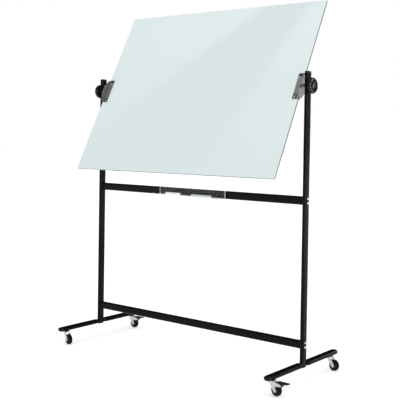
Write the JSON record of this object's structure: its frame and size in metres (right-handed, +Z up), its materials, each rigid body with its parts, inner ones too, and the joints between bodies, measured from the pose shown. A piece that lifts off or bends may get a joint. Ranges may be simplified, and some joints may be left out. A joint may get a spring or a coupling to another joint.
{
  "type": "rolling whiteboard",
  "caption": "Free-standing double-sided glass whiteboard that tilts right round between two steel posts, on a castered frame with crossbars, clamp knobs, a clear pen tray and markers.",
  "frame": {"origin": "on the floor, midway between the two posts", "axes": "+X along the board's width towards the post nearer the viewer, -Y towards the side with the pen tray, +Z up"},
  "size_m": [1.3773, 0.5778, 1.6922],
  "materials": {
    "frame_black": "satin powder coat",
    "cap_black": "moulded, semi-matte",
    "tapped_block": "as cut",
    "zinc_fastener": "bright zinc plate",
    "bush_nylon": "moulded nylon",
    "tray_acrylic": "clear, polished",
    "board_glass": "polished, back painted pale",
    "core_steel": "galvanised sheet",
    "bracket_metal": "satin",
    "black_rubber": "matte",
    "pivot_chrome": "bright",
    "knob_black": "moulded, fine texture",
    "insert_brass": "as turned",
    "caster_zinc": "bright zinc plate",
    "hub_grey": "moulded",
    "caster_tyre": "matte",
    "pedal_black": "moulded nylon",
    "marker_white": "glossy",
    "marker_grey": "glossy",
    "marker_black": "glossy",
    "nib_felt": "pressed felt"
  },
  "bodies": {
    "frame": {"left_post": "frame_black", "right_post": "frame_black", "upper_crossbar": "frame_black", "lower_crossbar": "frame_black", "left_front_foot": "frame_black", "left_rear_foot": "frame_black", "right_front_foot": "frame_black", "right_rear_foot": "frame_black", "post_end_caps": "cap_black", "foot_end_caps": "cap_black", "foot_saddles": "frame_black", "crossbar_end_blocks": "tapped_block", "crossbar_screws": "zinc_fastener", "pivot_bushes": "bush_nylon", "caster_sockets": "zinc_fastener", "caster_stems": "zinc_fastener", "caster_collars": "cap_black", "pen_tray": "tray_acrylic"},
    "board": {"front_glass": "board_glass", "back_glass": "board_glass", "steel_core": "core_steel", "left_bracket": "bracket_metal", "right_bracket": "bracket_metal", "glass_liners": "black_rubber", "bracket_pads": "black_rubber", "bracket_screws": "zinc_fastener", "pivot_studs": "pivot_chrome", "pivot_spacers": "pivot_chrome", "friction_washers": "zinc_fastener"},
    "left_clamp_knob": {"left_knob": "knob_black", "left_knob_insert": "insert_brass"},
    "right_clamp_knob": {"right_knob": "knob_black", "right_knob_insert": "insert_brass"},
    "front_right_swivel": {"front_right_fork": "caster_zinc", "front_right_axle": "caster_zinc", "front_right_brake_pin": "caster_zinc"},
    "front_right_wheel": {"front_right_hub": "hub_grey", "front_right_tyre": "caster_tyre"},
    "front_right_brake": {"front_right_brake_pedal": "pedal_black"},
    "front_left_swivel": {"front_left_fork": "caster_zinc", "front_left_axle": "caster_zinc"},
    "front_left_wheel": {"front_left_hub": "hub_grey", "front_left_tyre": "caster_tyre"},
    "rear_right_swivel": {"rear_right_fork": "caster_zinc", "rear_right_axle": "caster_zinc"},
    "rear_right_wheel": {"rear_right_hub": "hub_grey", "rear_right_tyre": "caster_tyre"},
    "rear_left_swivel": {"rear_left_fork": "caster_zinc", "rear_left_axle": "caster_zinc", "rear_left_brake_pin": "caster_zinc"},
    "rear_left_wheel": {"rear_left_hub": "hub_grey", "rear_left_tyre": "caster_tyre"},
    "rear_left_brake": {"rear_left_brake_pedal": "pedal_black"},
    "marker_1": {"marker_1_barrel": "marker_white", "marker_1_nib": "nib_felt"},
    "marker_1_cap": {"marker_1_cap": "marker_black"},
    "marker_2": {"marker_2_barrel": "marker_grey", "marker_2_nib": "nib_felt"},
    "marker_2_cap": {"marker_2_cap": "marker_black"}
  },
  "joints": [
    {"name": "board_tilt", "type": "hinge", "parent": "frame", "child": "board", "pos_m": [0, 0, 1.29], "axis": [1, 0, 0], "continuous": true},
    {"name": "left_knob_turn", "type": "hinge", "parent": "board", "child": "left_clamp_knob", "pos_m": [-0.65, 0, 1.29], "axis": [-1, 0, 0], "range_deg": [0, 360]},
    {"name": "right_knob_turn", "type": "hinge", "parent": "board", "child": "right_clamp_knob", "pos_m": [0.65, 0, 1.29], "axis": [1, 0, 0], "range_deg": [0, 360]},
    {"name": "front_right_swivel_turn", "type": "hinge", "parent": "frame", "child": "front_right_swivel", "pos_m": [0.628, -0.238, 0.06], "axis": [0, 0, 1], "continuous": true},
    {"name": "front_right_wheel_roll", "type": "hinge", "parent": "front_right_swivel", "child": "front_right_wheel", "pos_m": [0.65163, -0.24217, 0.025], "axis": [0.1736, 0.9848, 0], "continuous": true},
    {"name": "front_right_brake_press", "type": "hinge", "parent": "front_right_swivel", "child": "front_right_brake", "pos_m": [0.68019, -0.2472, 0.051], "axis": [0.1736, 0.9848, 0], "range_deg": [0, 14]},
    {"name": "front_left_swivel_turn", "type": "hinge", "parent": "frame", "child": "front_left_swivel", "pos_m": [-0.628, -0.238, 0.06], "axis": [0, 0, 1], "continuous": true},
    {"name": "front_left_wheel_roll", "type": "hinge", "parent": "front_left_swivel", "child": "front_left_wheel", "pos_m": [-0.60462, -0.2434, 0.025], "axis": [0.225, 0.9744, 0], "continuous": true},
    {"name": "rear_right_swivel_turn", "type": "hinge", "parent": "frame", "child": "rear_right_swivel", "pos_m": [0.628, 0.238, 0.06], "axis": [0, 0, 1], "continuous": true},
    {"name": "rear_right_wheel_roll", "type": "hinge", "parent": "rear_right_swivel", "child": "rear_right_wheel", "pos_m": [0.65177, 0.23466, 0.025], "axis": [0.1392, 0.9903, 0], "continuous": true},
    {"name": "rear_left_swivel_turn", "type": "hinge", "parent": "frame", "child": "rear_left_swivel", "pos_m": [-0.628, 0.238, 0.06], "axis": [0, 0, 1], "continuous": true},
    {"name": "rear_left_wheel_roll", "type": "hinge", "parent": "rear_left_swivel", "child": "rear_left_wheel", "pos_m": [-0.60401, 0.23716, 0.025], "axis": [0.0349, 0.9994, 0], "continuous": true},
    {"name": "rear_left_brake_press", "type": "hinge", "parent": "rear_left_swivel", "child": "rear_left_brake", "pos_m": [-0.57503, 0.23615, 0.051], "axis": [0.0349, 0.9994, 0], "range_deg": [0, 14]},
    {"name": "marker_1_lift", "type": "slide", "parent": "frame", "child": "marker_1", "axis": [0, 0, 1], "range_m": [0, 0.15]},
    {"name": "marker_1_cap_pull", "type": "slide", "parent": "marker_1", "child": "marker_1_cap", "axis": [1, 0, 0], "range_m": [0, 0.03]},
    {"name": "marker_2_lift", "type": "slide", "parent": "frame", "child": "marker_2", "axis": [0, 0, 1], "range_m": [0, 0.15]},
    {"name": "marker_2_cap_pull", "type": "slide", "parent": "marker_2", "child": "marker_2_cap", "axis": [1, 0, 0], "range_m": [0, 0.03]}
  ]
}
